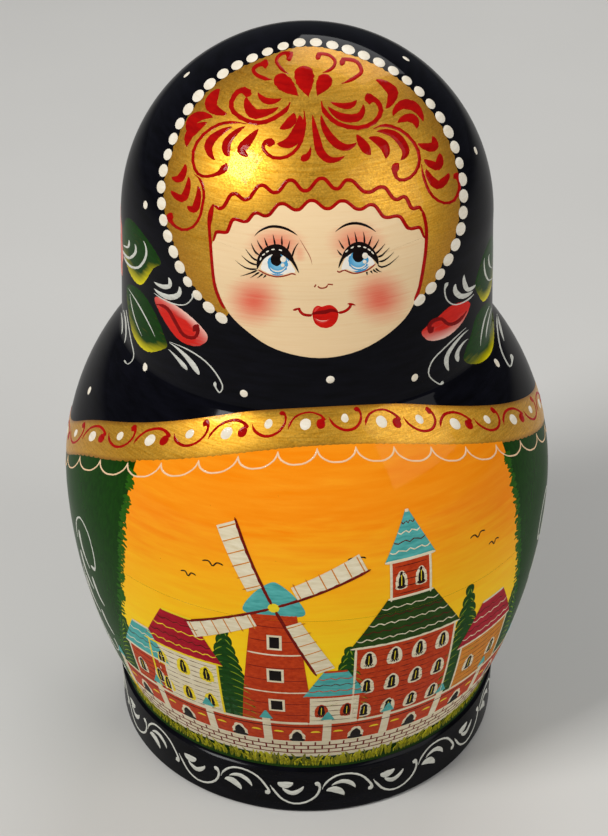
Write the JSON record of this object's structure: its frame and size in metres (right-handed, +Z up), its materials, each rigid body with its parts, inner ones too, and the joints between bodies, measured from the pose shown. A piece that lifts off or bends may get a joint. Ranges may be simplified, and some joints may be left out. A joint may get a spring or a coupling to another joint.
{
  "type": "nesting doll",
  "caption": "Nesting doll set of turned, painted and lacquered wood: each doll opens at a lipped seam at the belly and holds a smaller one.",
  "frame": {"origin": "centre of the largest doll's foot, on the table", "axes": "+Z up along the dolls' turning axis, the painted faces look along -Y, +X to the viewer's right"},
  "size_m": [0.169, 0.169, 0.26],
  "materials": {
    "painted_top": "black paint with gold, cream and red brushwork under clear gloss lacquer",
    "painted_bottom": "orange, yellow and green paint under clear gloss lacquer, bare turned lime wood inside",
    "painted_solid": "paint under clear gloss lacquer"
  },
  "bodies": {
    "doll_1_bottom": {"doll_1_bottom": "painted_bottom", "doll_1_lip": "painted_bottom"},
    "doll_2_bottom": {"doll_2_bottom": "painted_bottom", "doll_2_lip": "painted_bottom"},
    "doll_3_bottom": {"doll_3_bottom": "painted_bottom", "doll_3_lip": "painted_bottom"},
    "doll_4_bottom": {"doll_4_bottom": "painted_bottom", "doll_4_lip": "painted_bottom"},
    "doll_5_bottom": {"doll_5_bottom": "painted_bottom", "doll_5_lip": "painted_bottom"},
    "doll_6_bottom": {"doll_6_bottom": "painted_bottom", "doll_6_lip": "painted_bottom"},
    "doll_7_solid": {"doll_7_solid": "painted_solid"},
    "doll_1_top": {"doll_1_top": "painted_top"},
    "doll_2_top": {"doll_2_top": "painted_top"},
    "doll_3_top": {"doll_3_top": "painted_top"},
    "doll_4_top": {"doll_4_top": "painted_top"},
    "doll_5_top": {"doll_5_top": "painted_top"},
    "doll_6_top": {"doll_6_top": "painted_top"}
  },
  "joints": [
    {"name": "doll_2_lifts_out", "type": "slide", "parent": "doll_1_bottom", "child": "doll_2_bottom", "axis": [0, 0, 1], "range_m": [0, 0.115]},
    {"name": "doll_3_lifts_out", "type": "slide", "parent": "doll_2_bottom", "child": "doll_3_bottom", "axis": [0, 0, 1], "range_m": [0, 0.0898]},
    {"name": "doll_4_lifts_out", "type": "slide", "parent": "doll_3_bottom", "child": "doll_4_bottom", "axis": [0, 0, 1], "range_m": [0, 0.0701]},
    {"name": "doll_5_lifts_out", "type": "slide", "parent": "doll_4_bottom", "child": "doll_5_bottom", "axis": [0, 0, 1], "range_m": [0, 0.0547]},
    {"name": "doll_6_lifts_out", "type": "slide", "parent": "doll_5_bottom", "child": "doll_6_bottom", "axis": [0, 0, 1], "range_m": [0, 0.0427]},
    {"name": "doll_7_lifts_out", "type": "slide", "parent": "doll_6_bottom", "child": "doll_7_solid", "axis": [0, 0, 1], "range_m": [0, 0.0334]},
    {"name": "doll_6_opens", "type": "slide", "parent": "doll_7_solid", "child": "doll_6_top", "axis": [0, 0, 1], "range_m": [0, 0.0366]},
    {"name": "doll_5_opens", "type": "slide", "parent": "doll_6_top", "child": "doll_5_top", "axis": [0, 0, 1], "range_m": [0, 0.0468]},
    {"name": "doll_4_opens", "type": "slide", "parent": "doll_5_top", "child": "doll_4_top", "axis": [0, 0, 1], "range_m": [0, 0.06]},
    {"name": "doll_3_opens", "type": "slide", "parent": "doll_4_top", "child": "doll_3_top", "axis": [0, 0, 1], "range_m": [0, 0.0768]},
    {"name": "doll_2_opens", "type": "slide", "parent": "doll_3_top", "child": "doll_2_top", "axis": [0, 0, 1], "range_m": [0, 0.0984]},
    {"name": "doll_1_opens", "type": "slide", "parent": "doll_2_top", "child": "doll_1_top", "axis": [0, 0, 1], "range_m": [0, 0.126]}
  ]
}
